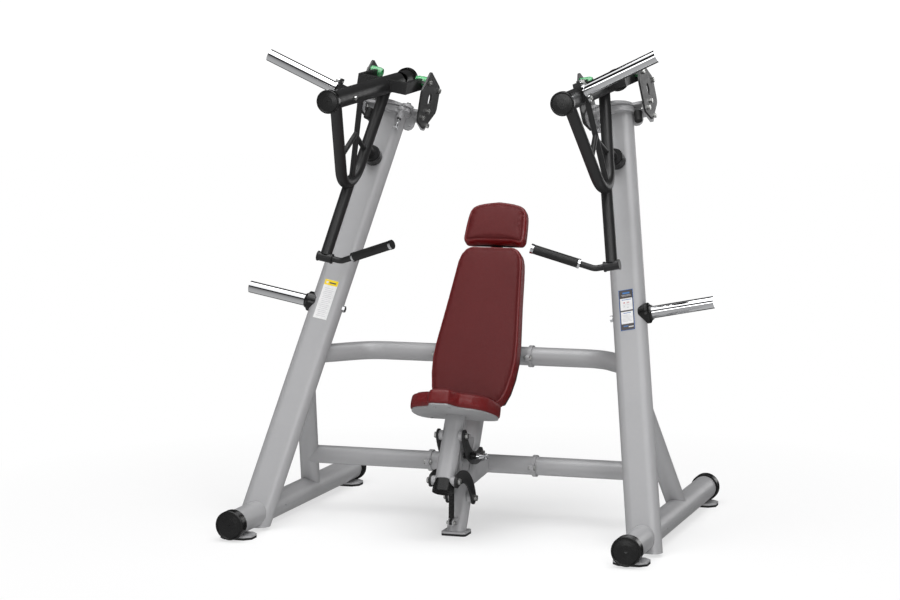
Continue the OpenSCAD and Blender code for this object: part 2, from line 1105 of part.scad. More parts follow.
module press_frame(side) {
  puck_dir = [0, -cos(puck_rise), sin(puck_rise)];
  puck_back = puck_gap + puck_t;
  color(graphite)
    sided(side)
      arm_frame()
        difference() {
          union() {
            u_bend(press_r);
            struts();
            bar(puck_point + puck_dir * (puck_back + 2), puck_point + puck_dir * puck_arm, 18);
            bar(puck_point + puck_dir * puck_back, puck_point + puck_dir * (puck_back + 6), puck_r - 3);
          }
          arm_tube_solid(weld_gap);
          translate([-60, arm_front, arm_z])
            cube([120, arm_back - arm_front, 300]);
        }
}

// frame of a grip: origin at the corner of the rod, z along the grip
module grip_frame() {
  translate(press_hub + [-rod_corner, 0, 0])
    rotate([atan2(grip_dir[2], grip_dir[1]), 0, 0])
      rotate([0, 0, -rod_turn])
        rotate([0, -90, 0])
          children();
}

// bent handle rod from the hub into the grip
module handle_rod() {
  lead = rod_bend_r * tan(rod_turn / 2);
  translate(press_hub)
    rotate([atan2(grip_dir[2], grip_dir[1]), 0, 0])
      translate([-rod_corner + lead, 0, 0]) {
        rod_x(0, rod_corner - lead - press_hub_half + 3, rod_r);
        translate([0, rod_bend_r, 0])
          tube_bend(rod_bend_r, rod_r, 270 - rod_turn, rod_turn);
      }
  grip_frame()
    translate([0, 0, lead])
      cylinder(h = grip_start + grip_len - ring_len - lead, r = rod_r);
}

module press_frame_r() { press_frame(1); }
module press_frame_l() { press_frame(-1); }

// press tube below the bend, with the cross sleeve and the handle rod
module press_bar(side) {
  color(graphite)
    sided(side)
      arm_frame()
        difference() {
          union() {
            bar([0, -462, -412], press_hub + [0, 4, 7], press_r - 0.6);
            translate(press_hub) {
              rod_x(-press_hub_half, press_hub_half, press_hub_r);
              rod_x(-press_hub_half, -press_hub_half + 6, press_hub_r + 2);
              rod_x(press_hub_half - 5, press_hub_half, press_hub_r + 2);
            }
            handle_rod();
          }
          u_bend(press_r + weld_gap);
        }
}

module press_bar_r() { press_bar(1); }
module press_bar_l() { press_bar(-1); }

module arm_cap(out) {
  bore = arm_r + weld_gap;
  rotate_extrude()
    polygon([[0, 2], [20, 2.4], [36, 4], [40, 4.4], [42, 1], [44.5, 0], [46.8, 0.8],
      [arm_cap_r, 3], [arm_cap_r, out], [bore, out], [bore, 6], [0, 6]]);
}

module arm_ends(side) {
  puck_dir = [0, -cos(puck_rise), sin(puck_rise)];
  color(black)
    sided(side)
      arm_frame() {
        translate([0, arm_front, arm_z])
          rotate([-90, 0, 0])
            arm_cap(22);
        translate([0, arm_back, arm_z])
          rotate([90, 0, 0])
            arm_cap(22);
        bar(puck_point + puck_dir * puck_gap, puck_point + puck_dir * (puck_gap + puck_t - weld_gap), puck_r);
      }
}

module arm_ends_r() { arm_ends(1); }
module arm_ends_l() { arm_ends(-1); }

module pivot_hubs(side) {
  out = plate_in - 0.6;
  color(green)
    sided(side)
      arm_frame()
        translate([0, hub_y, 0])
          both_x()
            difference() {
              rotate([0, 90, 0])
                rotate_extrude()
                  polygon([[pin_r + run_gap, hub_in], [hub_r - 4, hub_in], [hub_r, hub_in + 12],
                    [hub_r + 1, out - 14], [hub_r + 1, out], [pin_r + run_gap, out]]);
              translate([118, -40, 0])
                rotate([-90, 0, 0])
                  cylinder(h = 31, r = 4 + weld_gap);
            }
}

module pivot_hubs_r() { pivot_hubs(1); }
module pivot_hubs_l() { pivot_hubs(-1); }

module weight_horn(side) {
  color(chrome)
    sided(side)
      arm_frame()
        translate([0, horn_y, horn_z])
          rotate([0, -horn_tilt, 0]) {
            difference() {
              union() {
                rod_x(46 + weld_gap, horn_end, sleeve_r);
                plate_x(46 + weld_gap, 7)
                  union() {
                    circle(r = 30);
                    translate([0, -2])
                      square([24, 70], center = true);
                    for (z = horn_bolt_z)
                      translate([0, z])
                        circle(r = 12);
                  }
              }
              rod_x(60, horn_end - 6, sleeve_r - 4);
              for (sz = horn_bolt_z)
                translate([0, 0, sz])
                  rod_x(30, 80, 5 + weld_gap);
            }
          }
}

module weight_horn_r() { weight_horn(1); }
module weight_horn_l() { weight_horn(-1); }

module arm_bolts(side) {
  color(zinc)
    sided(side)
      arm_frame() {
        translate([0, horn_y, horn_z])
          rotate([0, -horn_tilt, 0])
            for (sz = horn_bolt_z)
              translate([0, 0, sz]) {
                hex_x(46 + 7 + 2 * weld_gap, 61, 9);
                rod_x(32, 54, 5);
              }
        translate([0, horn_y, arm_z]) {
          rod_x(-arm_r - 3, -20, 6);
          hex_x(-arm_r - 8, -arm_r - 0.5, 10);
        }
        both_x()
          translate([118, hub_y, 0])
            rotate([90, 0, 0]) {
              translate([0, 0, 12])
                cylinder(h = 14, r = 4);
              translate([0, 0, hub_r + 1.2])
                cylinder(h = 7, r = 8, $fn = 6);
            }
      }
}

module arm_bolts_r() { arm_bolts(1); }
module arm_bolts_l() { arm_bolts(-1); }

// a hollow sleeve on the grip axis, from z0 to z1
module on_grip(z0, z1, r) {
  grip_frame()
    translate([0, 0, z0])
      difference() {
        cylinder(h = z1 - z0, r = r);
        translate([0, 0, -1])
          cylinder(h = z1 - z0 + 2, r = rod_r + weld_gap);
      }
}

module grip(side) {
  color(black)
    sided(side)
      arm_frame()
        on_grip(grip_start + ring_len, grip_start + grip_len - ring_len - 3, grip_r);
}

module grip_r() { grip(1); }
module grip_l() { grip(-1); }

module grip_rings(side) {
  color(chrome)
    sided(side)
      arm_frame() {
        on_grip(grip_start, grip_start + ring_len - weld_gap, grip_r + 1);
        grip_frame()
          translate([0, 0, grip_start + grip_len - ring_len - 3 + weld_gap])
            difference() {
              cylinder(h = ring_len + 3 - weld_gap, r = grip_r + 1);
              translate([0, 0, -1])
                cylinder(h = 4.1, r = rod_r + weld_gap);
            }
      }
}

module grip_rings_r() { grip_rings(1); }
module grip_rings_l() { grip_rings(-1); }

// ---------- pads ----------

// back pad outline, drawn as [x, distance along the column]
function back_half(inset) = [
  [0, back_low_s + inset], [100 - inset, back_low_s + inset], [136 - inset, back_low_s + 12 + inset],
  [160 - inset, back_low_s + 34], [178 - inset, back_low_s + 80], [190 - inset, back_low_s + 145],
  [194 - inset, back_low_s + 215], [190 - inset, back_low_s + 290], [170 - inset, back_low_s + 470],
  [158 - inset, back_low_s + 600], [150 - inset, back_high_s - 70], [138 - inset, back_high_s - 36],
  [118 - inset, back_high_s - 12 - inset / 2], [92 - inset, back_high_s - inset],
  [0, back_high_s - inset]];

function head_half(inset) = concat(
  [[0, head_low_s + inset], [112 - inset, head_low_s + inset]],
  arc([110, head_low_s + 26], 26 - inset, -80, -5, 4),
  [[132 - inset, head_low_s + 120]],
  arc([84, head_low_s + 142], 40 - inset, 15, 70, 4),
  [[60, head_low_s + 187 - inset], [0, head_low_s + 196 - inset]]);

// a slab behind or in front of the column: outline in the x-z plane of the column frame
module column_slab(y0, t) {
  column_frame()
    translate([0, y0 + t, 0])
      rotate([90, 0, 0])
        linear_extrude(t)
          children();
}

module back_pad() {
  color(maroon)
    column_slab(pad_back_y - pad_t, pad_t - weld_gap)
      polygon(closed(back_half(0)));
}

module head_pad() {
  color(maroon)
    column_slab(pad_back_y - pad_t, pad_t - weld_gap)
      polygon(closed(head_half(0)));
}

module back_frame() {
  board_t = 10;
  color(black) {
    column_slab(pad_back_y, board_t)
      polygon(closed(back_half(14)));
    column_slab(pad_back_y, board_t)
      polygon(closed(head_half(12)));
    column_frame() {
      for (s = [640, 1040])
        translate([-26, pad_back_y + board_t - eps, s])
          difference() {
            cube([52, -column_d / 2 - weld_gap - pad_back_y - board_t + eps, 70]);
            translate([6, -1, 6])
              cube([40, 60, 58]);
          }
      translate([-25, pad_back_y + board_t - eps, 1112])
        cube([50, 8, 280]);
    }
  }
}

// seat outline, drawn as [x, back]
seat_half = [
  [0, -248], [32, -248], [46, -242], [54, -228], [60, -204], [72, -182], [94, -166], [124, -150],
  [150, -128], [168, -96], [180, -56], [185, -10], [183, 34], [173, 68], [153, 89], [120, 98], [0, 99]];
seat_plate_half = [
  [0, -238], [28, -238], [38, -233], [45, -220], [51, -197], [64, -173], [90, -156], [119, -141],
  [141, -120], [158, -90], [169, -53], [174, -10], [172, 31], [162, 62], [145, 80], [116, 89], [0, 90]];

module seat_pad() {
  color(maroon)
    seat_frame()
      translate([0, 0, 6 + weld_gap])
        linear_extrude(seat_t)
          polygon(closed(seat_half));
}

module seat_plate() {
  color(silver)
    seat_frame() {
      linear_extrude(6)
        polygon(closed(seat_plate_half));
      for (p = [[-30, -185], [30, -185], [-120, 60], [120, 60]])
        translate([p[0], p[1], -4])
          cylinder(h = 4, r = 7, $fn = 6);
    }
}

// ---------- seat carrier, links, gas spring ----------

module carrier_solid(grow, top) {
  carrier_frame()
    translate([0, carrier_y, -30])
      linear_extrude(30 + top)
        oval(column_w + 2 * grow, column_d + 2 * grow);
}

module carrier() {
  lug_len = gas_top_y - carrier_y;
  color(silver)
    difference() {
      union() {
        carrier_solid(0, carrier_top + 30);
        carrier_frame()
          for (x = [-11.5, 6.5])
            translate([0, gas_top_y, gas_top_s])
              plate_x(x, 5) {
                circle(r = 11);
                translate([-lug_len, -11])
                  square([lug_len, 22]);
              }
        for (i = [0, 1])
          translate(front_pivot(i))
            both_x()
              rod_x(column_w / 2 - 8, link_in - move_gap, spacer_r);
      }
      carrier_solid(-frame_wall, carrier_top + 40);
      carrier_frame()
        translate([0, carrier_y, -31])
          linear_extrude(carrier_top)
            oval(column_w - 2 * frame_wall, column_d - 2 * frame_wall);
      for (i = [0, 1])
        translate(front_pivot(i))
          rod_x(-link_in, link_in, pin_r + weld_gap);
      carrier_frame()
        translate([0, gas_top_y, gas_top_s])
          rod_x(-20, 20, gas_pin_r + weld_gap);
      seat_frame()
        translate([-100, -200, -weld_gap])
          cube([200, 400, 200]);
    }
}

module carrier_cap() {
  color(black)
    difference() {
      carrier_frame()
        translate([0, carrier_y, -46])
          linear_extrude(60)
            oval(column_w + 8, column_d + 8);
      carrier_solid(weld_gap, 40);
      carrier_frame()
        translate([0, carrier_y, -17])
          rotate([-cap_cut, 0, 0])
            translate([-100, -150, 0])
              cube([200, 300, 150]);
      translate(front_pivot(0))
        rod_x(-60, 60, spacer_r + 1);
    }
}

module carrier_bolts() {
  out = link_in + link_t + move_gap;
  color(zinc) {
    for (i = [0, 1])
      translate(front_pivot(i)) {
        rod_x(-out, out, pin_r);
        both_x()
          hex_x(out - eps, out + link_head_h, head_r);
      }
    carrier_frame()
      translate([0, gas_top_y, gas_top_s])
        through_bolt(-11.5 - weld_gap, 11.5 + weld_gap, gas_pin_r, 8);
  }
}

// curved link outline between the pivots, bulging to the given side
module link_outline(side) {
  rise = 48;
  r = ((link_len / 2) * (link_len / 2) + rise * rise) / (2 * rise);
  half = asin(link_len / 2 / r);
  band = 26;
  cy = side * (rise - r);
  difference() {
    union() {
      intersection() {
        translate([link_len / 2, cy])
          difference() {
            circle(r = r + band, $fn = 96);
            circle(r = r - band, $fn = 96);
          }
        translate([link_len / 2, cy])
          polygon([[0, 0], 2 * r * [sin(-half), side * cos(half)],
            [0, side * 3 * r], 2 * r * [sin(half), side * cos(half)]]);
      }
      circle(r = band);
      translate([link_len, 0])
        circle(r = band);
    }
    circle(r = pin_r + run_gap);
    translate([link_len, 0])
      circle(r = pin_r + run_gap);
  }
}

// a pair of links on their rear pivot, bulging to the given side
module link_pair(i, side) {
  translate(rear_pivot(i))
    rotate([-link_slope, 0, 0])
      for (x0 = [-link_in - link_t, link_in])
        translate([x0, 0, 0])
          mirror([0, 1, 0])
            plate_x(0, link_t)
              link_outline(side);
}

module upper_links() {
  color(graphite)
    difference() {
      link_pair(1, -1);
      index_frame()
        rod_x(link_in - 5, link_in + link_t + 5, 13 + weld_gap);
    }
}

module lower_links() {
  color(graphite)
    link_pair(0, 1);
}

// axis of the index pin, along +x
module index_frame() {
  link_frame(1)
    translate([0, -index_x, index_y])
      children();
}

module pin_housing() {
  color(black)
    index_frame()
      difference() {
        union() {
          rod_x(link_in - 22, link_in + link_t + 24, 13);
          rod_x(link_in + link_t + weld_gap, link_in + link_t + 18, 16);
        }
        rod_x(0, 120, index_pin_r + run_gap);
      }
}

module seat_pin() {
  tip = index_plate_in + index_plate_t + move_gap;
  knob = link_in + link_t + 24 + move_gap;
  color(chrome)
    index_frame() {
      rod_x(tip, knob + 2, index_pin_r);
      translate([knob, 0, 0])
        rotate([0, 90, 0])
          rotate_extrude()
            polygon([[0, 0], [12, 0], [12, 12], [9, 22], [6, 34], [0, 34]]);
      for (a = [45:90:315])
        rotate([a, 0, 0])
          bar([knob + 30, 0, 0], [knob + 42, 0, 14], 3.5);
    }
}

// frame of the gas spring, z from the foot pin to the top pin
module gas_frame() {
  translate(gas_foot)
    rotate([-gas_tilt, 0, 0])
      children();
}

module gas_cylinder() {
  color(black)
    gas_frame()
      difference() {
        union() {
          rod_x(-6, 6, 10);
          translate([0, 0, 6])
            cylinder(h = 16, r = 5);
          translate([0, 0, 18])
            cylinder(h = gas_body_len - 18, r = gas_body_r);
        }
        translate([0, 0, 26])
          cylinder(h = gas_body_len, r = gas_rod_r + run_gap);
        rod_x(-10, 10, gas_pin_r + run_gap);
      }
}

module gas_rod() {
  color(chrome)
    gas_frame()
      difference() {
        union() {
          translate([0, 0, gas_len - gas_rod_len])
            cylinder(h = gas_rod_len - 9, r = gas_rod_r);
          translate([0, 0, gas_len])
            rod_x(-6, 6, gas_eye_r);
        }
        translate([0, 0, gas_len])
          rod_x(-10, 10, gas_eye_hole_r);
      }
}

// ---------- output ----------

runners();
runner_caps();
foot_pads();
uprights();
braces();
lower_cross_ends();
lower_cross_mid();
upper_cross_ends();
upper_cross_mid();
seat_column();
index_plate();
frame_bolts();
storage_horns();
storage_collars();
placards();
head_bases();
back_pad();
head_pad();
back_frame();
swivel_plate_r();
swivel_plate_l();
side_plates_r();
side_plates_l();
swivel_bolts_r();
swivel_bolts_l();
swivel_bumpers();
lock_pin_r();
lock_pin_l();
arm_main_r();
arm_main_l();
press_frame_r();
press_frame_l();
press_bar_r();
press_bar_l();
arm_ends_r();
arm_ends_l();
pivot_hubs_r();
pivot_hubs_l();
weight_horn_r();
weight_horn_l();
arm_bolts_r();
arm_bolts_l();
grip_r();
grip_l();
grip_rings_r();
grip_rings_l();
seat_pad();
seat_plate();
carrier();
carrier_cap();
carrier_bolts();
upper_links();
lower_links();
pin_housing();
seat_pin();
gas_cylinder();
gas_rod();
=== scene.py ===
import math

import bmesh
import bpy
import numpy as np
from mathutils import Matrix, Vector
from mathutils.bvhtree import BVHTree


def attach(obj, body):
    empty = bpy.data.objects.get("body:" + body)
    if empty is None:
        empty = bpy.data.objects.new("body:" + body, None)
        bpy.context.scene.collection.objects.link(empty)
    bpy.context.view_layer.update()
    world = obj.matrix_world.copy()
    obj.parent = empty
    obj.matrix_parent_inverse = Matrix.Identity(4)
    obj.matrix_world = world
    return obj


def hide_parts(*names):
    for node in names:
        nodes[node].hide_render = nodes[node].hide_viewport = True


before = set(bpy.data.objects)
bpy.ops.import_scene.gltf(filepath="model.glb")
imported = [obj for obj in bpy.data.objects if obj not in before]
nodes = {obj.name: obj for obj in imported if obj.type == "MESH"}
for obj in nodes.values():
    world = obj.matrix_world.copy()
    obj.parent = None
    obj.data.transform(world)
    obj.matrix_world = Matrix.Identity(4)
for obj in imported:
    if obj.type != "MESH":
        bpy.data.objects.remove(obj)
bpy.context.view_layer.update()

scene = bpy.context.scene
MM = 0.001


# ---------- frames of the object, the same as the CAD's ----------

def turn(degrees, axis):
    return Matrix.Rotation(math.radians(degrees), 4, axis)


def shift(x, y, z):
    return Matrix.Translation(Vector((x, y, z)) * MM)


MIRROR = Matrix.Scale(-1, 4, Vector((1, 0, 0)))
SIDE = shift(812, 0, 66) @ turn(-11.1, "Y")
UPRIGHT = SIDE @ shift(0, -427, 0) @ turn(-25.3, "X")
COLUMN = shift(0, -293, 9) @ turn(-30, "X")
CARRIER = shift(0, -451.05, 245.76) @ turn(-30, "X")
SEAT = CARRIER @ shift(0, 8, 282) @ turn(11, "X")


# ---------- camera, light and floor ----------

CAMERA_AT = (3.031, -9.725, 2.014)
CAMERA_AIM = (-0.3066, 0.9459, -0.1064)
CAMERA_LENS = 99.4

# Name, place, target, (width, height) in metres, watts.
LAMPS = [
    ("top", (0.3, -0.8, 5.4), (0, 0, 0.6), (4.5, 4.0), 165),
    ("key", (4.5, -6.5, 4.0), (0, -0.2, 0.9), (2.6, 2.0), 130),
    ("fill", (-1.0, -9.0, 1.6), (0, 0, 0.7), (3.6, 2.4), 75),
    ("back_card", (3.4, 7.5, 2.2), (0.4, 0, 1.4), (2.2, 3.0), 45),
]

# The studio that shiny parts mirror, from straight below to a bright canopy overhead that
# leans towards the front, with a dark band under the canopy.
CANOPY_AXIS = (0.0, -0.259, 0.966)
STUDIO = [(0.0, 0.50), (0.45, 0.40), (0.66, 0.24), (0.725, 0.12), (0.74, 0.012), (0.868, 0.012),
          (0.885, 1.3), (1.0, 1.1)]
# Towards the rear the studio dims to this share of its light, as the direction's y passes from
# the start to the end.
REAR_LEVEL = 0.08
REAR_START = 0.33
REAR_END = 0.45
BACKDROP = 1.05

FLOOR_HALF = 30.0
FLOOR_WHITE = (0.94, 0.94, 0.94, 1)
# Plain white glow replaces the floor's own shading as the distance from the origin grows from the
# start to the end. The start is below zero, so a share of it is there under the object too.
FLOOR_FADE_START = -1.6
FLOOR_FADE_END = 2.6


def make_camera():
    data = bpy.data.cameras.new("camera")
    data.lens = CAMERA_LENS
    data.sensor_width = 36
    data.clip_start = 0.1
    data.clip_end = 200
    camera = bpy.data.objects.new("camera", data)
    scene.collection.objects.link(camera)
    camera.location = CAMERA_AT
    camera.rotation_mode = "QUATERNION"
    camera.rotation_quaternion = Vector(CAMERA_AIM).to_track_quat("-Z", "Y")
    scene.camera = camera


def area_light(name, place, target, size, watts):
    data = bpy.data.lights.new(name, "AREA")
    data.shape = "RECTANGLE"
    data.size, data.size_y = size
    data.energy = watts
    lamp = bpy.data.objects.new(name, data)
    scene.collection.objects.link(lamp)
    lamp.location = place
    aim = Vector(target) - Vector(place)
    lamp.rotation_mode = "QUATERNION"
    lamp.rotation_quaternion = aim.to_track_quat("-Z", "Y")


def make_world():
    """White behind the object, and a studio of its own for everything that mirrors or is lit."""
    world = bpy.data.worlds.new("studio")
    world.use_nodes = True
    tree = world.node_tree
    tree.nodes.clear()
    out = tree.nodes.new("ShaderNodeOutputWorld")
    mix = tree.nodes.new("ShaderNodeMixShader")
    path = tree.nodes.new("ShaderNodeLightPath")
    white = tree.nodes.new("ShaderNodeBackground")
    white.inputs["Color"].default_value = (1, 1, 1, 1)
    white.inputs["Strength"].default_value = BACKDROP
    room = tree.nodes.new("ShaderNodeBackground")
    coord = tree.nodes.new("ShaderNodeTexCoord")
    lean = tree.nodes.new("ShaderNodeVectorMath")
    lean.operation = "DOT_PRODUCT"
    lean.inputs[1].default_value = CANOPY_AXIS
    split = tree.nodes.new("ShaderNodeSeparateXYZ")
    rear = tree.nodes.new("ShaderNodeMapRange")
    rear.inputs["From Min"].default_value = REAR_START
    rear.inputs["From Max"].default_value = REAR_END
    rear.inputs["To Min"].default_value = 1.0
    rear.inputs["To Max"].default_value = REAR_LEVEL
    ramp = tree.nodes.new("ShaderNodeValToRGB")
    while len(ramp.color_ramp.elements) < len(STUDIO):
        ramp.color_ramp.elements.new(0.5)
    for element, (at, level) in zip(ramp.color_ramp.elements, STUDIO):
        element.position = at
        element.color = (level, level, level * 1.01, 1)
    scale = tree.nodes.new("ShaderNodeMath")
    scale.operation = "MULTIPLY_ADD"
    scale.inputs[1].default_value = 0.5
    scale.inputs[2].default_value = 0.5
    link = tree.links.new
    link(coord.outputs["Generated"], split.inputs[0])
    link(split.outputs["Y"], rear.inputs["Value"])
    link(rear.outputs["Result"], room.inputs["Strength"])
    link(coord.outputs["Generated"], lean.inputs[0])
    link(lean.outputs["Value"], scale.inputs[0])
    link(scale.outputs[0], ramp.inputs[0])
    link(ramp.outputs[0], room.inputs["Color"])
    link(path.outputs["Is Camera Ray"], mix.inputs[0])
    link(room.outputs[0], mix.inputs[1])
    link(white.outputs[0], mix.inputs[2])
    link(mix.outputs[0], out.inputs[0])
    scene.world = world


def floor_look():
    mat = bpy.data.materials.new("floor_white")
    mat.use_nodes = True
    tree = mat.node_tree
    bsdf = tree.nodes["Principled BSDF"]
    out = tree.nodes["Material Output"]
    bsdf.inputs["Base Color"].default_value = FLOOR_WHITE
    bsdf.inputs["Roughness"].default_value = 0.75
    bsdf.inputs["Specular IOR Level"].default_value = 0.1
    coord = tree.nodes.new("ShaderNodeTexCoord")
    reach = tree.nodes.new("ShaderNodeVectorMath")
    reach.operation = "LENGTH"
    fade = tree.nodes.new("ShaderNodeMapRange")
    fade.inputs["From Min"].default_value = FLOOR_FADE_START
    fade.inputs["From Max"].default_value = FLOOR_FADE_END
    glow = tree.nodes.new("ShaderNodeEmission")
    mix = tree.nodes.new("ShaderNodeMixShader")
    link = tree.links.new
    link(coord.outputs["Object"], reach.inputs[0])
    link(reach.outputs["Value"], fade.inputs["Value"])
    link(fade.outputs["Result"], mix.inputs[0])
    link(bsdf.outputs[0], mix.inputs[1])
    link(glow.outputs[0], mix.inputs[2])
    link(mix.outputs[0], out.inputs["Surface"])
    return mat


def make_floor():
    """A pale floor. Far from the object it fades into the white backdrop."""
    mesh = bpy.data.meshes.new("floor")
    corners = [(-1, -1), (1, -1), (1, 1), (-1, 1)]
    mesh.from_pydata([(x * FLOOR_HALF, y * FLOOR_HALF, 0) for x, y in corners], [], [(0, 1, 2, 3)])
    floor = bpy.data.objects.new("floor", mesh)
    scene.collection.objects.link(floor)
    mesh.materials.append(floor_look())
    floor.visible_glossy = False


scene.view_settings.view_transform = "Standard"
make_camera()
make_world()
make_floor()
for lamp in LAMPS:
    area_light(*lamp)


# ---------- materials ----------

# The colour sockets of a Mix node.
MIX_A = 6
MIX_B = 7
MIX_RESULT = 2
BEVEL_SAMPLES = 4


class Paint:
    """A procedural material: colour, roughness and bump driven by noise in the object's own space."""

    def __init__(self, name):
        self.mat = bpy.data.materials.new(name)
        self.mat.use_nodes = True
        self.tree = self.mat.node_tree
        self.tree.nodes.clear()
        self.out = self.new("ShaderNodeOutputMaterial")
        self.bsdf = self.new("ShaderNodeBsdfPrincipled")
        self.join(self.bsdf.outputs[0], self.out.inputs[0])
        self.coord = self.new("ShaderNodeTexCoord").outputs["Object"]
        self.normal = None

    def new(self, kind):
        return self.tree.nodes.new(kind)

    def join(self, a, b):
        self.tree.links.new(a, b)

    def set(self, **values):
        for key, value in values.items():
            self.bsdf.inputs[key.replace("_", " ")].default_value = value
        return self

    def noise(self, scale, detail=3.0, rough=0.55):
        node = self.new("ShaderNodeTexNoise")
        node.inputs["Scale"].default_value = scale
        node.inputs["Detail"].default_value = detail
        node.inputs["Roughness"].default_value = rough
        self.join(self.coord, node.inputs["Vector"])
        return node.outputs["Fac"]

    def voronoi(self, scale, feature="F1"):
        node = self.new("ShaderNodeTexVoronoi")
        node.feature = feature
        node.inputs["Scale"].default_value = scale
        self.join(self.coord, node.inputs["Vector"])
        return node.outputs["Distance"]

    def ramp(self, value, stops):
        node = self.new("ShaderNodeValToRGB")
        while len(node.color_ramp.elements) < len(stops):
            node.color_ramp.elements.new(0.5)
        for element, (at, colour) in zip(node.color_ramp.elements, stops):
            element.position = at
            element.color = (*colour, 1)
        self.join(value, node.inputs[0])
        return node.outputs["Color"]

    def remap(self, value, low, high, start=0.3, end=0.7):
        """Low where the value is at start, high where it is at end."""
        node = self.new("ShaderNodeMapRange")
        node.inputs["From Min"].default_value = start
        node.inputs["From Max"].default_value = end
        node.inputs["To Min"].default_value = low
        node.inputs["To Max"].default_value = high
        self.join(value, node.inputs["Value"])
        return node.outputs["Result"]

    def math(self, operation, a, b):
        node = self.new("ShaderNodeMath")
        node.operation = operation
        self.join(a, node.inputs[0])
        self.join(b, node.inputs[1])
        return node.outputs[0]

    def mix(self, factor, a, b):
        node = self.new("ShaderNodeMix")
        node.data_type = "RGBA"
        self.join(factor, node.inputs[0])
        for socket, value in ((node.inputs[MIX_A], a), (node.inputs[MIX_B], b)):
            if isinstance(value, tuple):
                socket.default_value = (*value, 1)
            else:
                self.join(value, socket)
        return node.outputs[MIX_RESULT]

    def soft_edges(self, radius):
        """Normals rounded over the edges."""
        node = self.new("ShaderNodeBevel")
        node.samples = BEVEL_SAMPLES
        node.inputs["Radius"].default_value = radius
        self.normal = node.outputs[0]

    def edge_mask(self, radius, start, end):
        """1 along sharp outer edges, broken up by noise, and 0 on open faces."""
        node = self.new("ShaderNodeBevel")
        node.samples = BEVEL_SAMPLES
        node.inputs["Radius"].default_value = radius
        geometry = self.new("ShaderNodeNewGeometry")
        dot = self.new("ShaderNodeVectorMath")
        dot.operation = "DOT_PRODUCT"
        self.join(node.outputs[0], dot.inputs[0])
        self.join(geometry.outputs["Normal"], dot.inputs[1])
        edge = self.remap(dot.outputs["Value"], 1.0, 0.0, start, end)
        broken = self.remap(self.noise(160, 4), 0.0, 1.0, 0.46, 0.6)
        return self.math("MULTIPLY", edge, broken)

    def bump(self, height, distance, strength):
        node = self.new("ShaderNodeBump")
        node.inputs["Distance"].default_value = distance
        node.inputs["Strength"].default_value = strength
        self.join(height, node.inputs["Height"])
        if self.normal is not None:
            self.join(self.normal, node.inputs["Normal"])
        self.normal = node.outputs[0]

    def finish(self, colour, roughness):
        self.join(colour, self.bsdf.inputs["Base Color"])
        self.join(roughness, self.bsdf.inputs["Roughness"])
        self.join(self.normal, self.bsdf.inputs["Normal"])
        return self.mat


def grey(level, tint=1.0):
    return (level, level, level * tint)


def scaled(colour, factor):
    return tuple(c * factor for c in colour)


def powder_coat(name, low, high, rough, metallic, bright):
    """Sprayed and baked paint: faint mottling in broad and small patches, and fine orange peel."""
    p = Paint(name).set(Metallic=metallic, Specular_IOR_Level=0.5)
    body = p.ramp(p.noise(5, 5), [(0.3, grey(low, 1.02)), (0.7, grey(high, 1.02))])
    colour = p.mix(p.remap(p.noise(60, 2), 0.0, 0.25), body, bright)
    p.soft_edges(0.0011)
    p.bump(p.noise(160, 2), 0.0001, 0.03)
    return p.finish(colour, p.remap(p.noise(30, 4), rough - 0.04, rough + 0.05))


def moulded(name, low, high, rough, grain, depth):
    """Moulded plastic or rubber with a fine grain and paler scuffs."""
    p = Paint(name).set(Specular_IOR_Level=0.45)
    body = p.ramp(p.noise(30, 5), [(0.3, grey(low)), (0.7, grey(high))])
    scuff = p.math("MULTIPLY", p.remap(p.noise(12, 6, 0.7), 0.0, 0.3, 0.55, 0.72),
                   p.remap(p.noise(260, 3), 0.0, 1.0))
    colour = p.mix(scuff, body, grey(high * 3.2))
    p.soft_edges(0.0013)
    p.bump(p.voronoi(grain), depth, 0.15)
    p.bump(p.noise(90, 3), depth, 0.04)
    return p.finish(colour, p.remap(p.noise(50, 4), rough - 0.05, rough + 0.06))


def metal(name, level, rough, brushed, tint, edge):
    """Plated metal with faint hairlines and cloudy patches. An edge of 0 leaves the normals alone."""
    p = Paint(name).set(Metallic=1.0)
    colour = p.ramp(p.noise(18, 4), [(0.3, scaled(tint, level * 0.94)), (0.7, scaled(tint, level))])
    if edge:
        p.soft_edges(edge)
    p.bump(p.noise(brushed, 2), 0.0001, 0.02)
    return p.finish(colour, p.remap(p.noise(70, 4), rough * 0.7, rough * 1.4))


def vinyl(name, field, rim, grain, depth):
    """Upholstery vinyl: a dull pebbled middle panel and a smoother rolled border painted a deeper red. The
    two colours are one vinyl lit two ways: the panel's greyer tint is a painted sheen, and the border's red
    is the painted look of an edge that mirrors dark surroundings.
    """
    p = Paint(name)
    attribute = p.new("ShaderNodeAttribute")
    attribute.attribute_name = "border"
    border = attribute.outputs["Fac"]
    cells = p.voronoi(grain, "SMOOTH_F1")
    lines = p.voronoi(grain * 0.55, "DISTANCE_TO_EDGE")
    panel = p.ramp(p.noise(9, 5), [(0.3, scaled(field, 0.92)), (0.72, field)])
    weave = p.remap(p.noise(240, 2), 0.0, 0.45, 0.35, 0.7)
    panel = p.mix(weave, panel, scaled(field, 0.6))
    # Painted light: the border's purer, deeper red and the panel's greyer tint stand in for one vinyl lit
    # two ways, not two vinyls.
    roll = p.ramp(p.noise(14, 5), [(0.3, scaled(rim, 0.88)), (0.72, rim)])
    colour = p.mix(border, panel, roll)
    # Painted shade: the vinyl is darker along the grain's furrows, in the recesses that the bump below
    # draws.
    colour = p.mix(p.remap(lines, 0.3, 0.0, 0.0, 0.12), colour, scaled(field, 0.4))
    p.bump(cells, depth, 0.6)
    p.bump(p.remap(lines, 0.0, 1.0, 0.0, 0.1), depth, 0.5)
    p.bump(p.noise(22, 3), 0.0022, 0.25)
    p.join(p.remap(border, 0.26, 0.5, 0.0, 1.0), p.bsdf.inputs["Specular IOR Level"])
    rough = p.math("ADD", p.remap(p.noise(60, 4), 0.0, 0.10), p.remap(border, 0.50, 0.30, 0.0, 1.0))
    return p.finish(colour, rough)


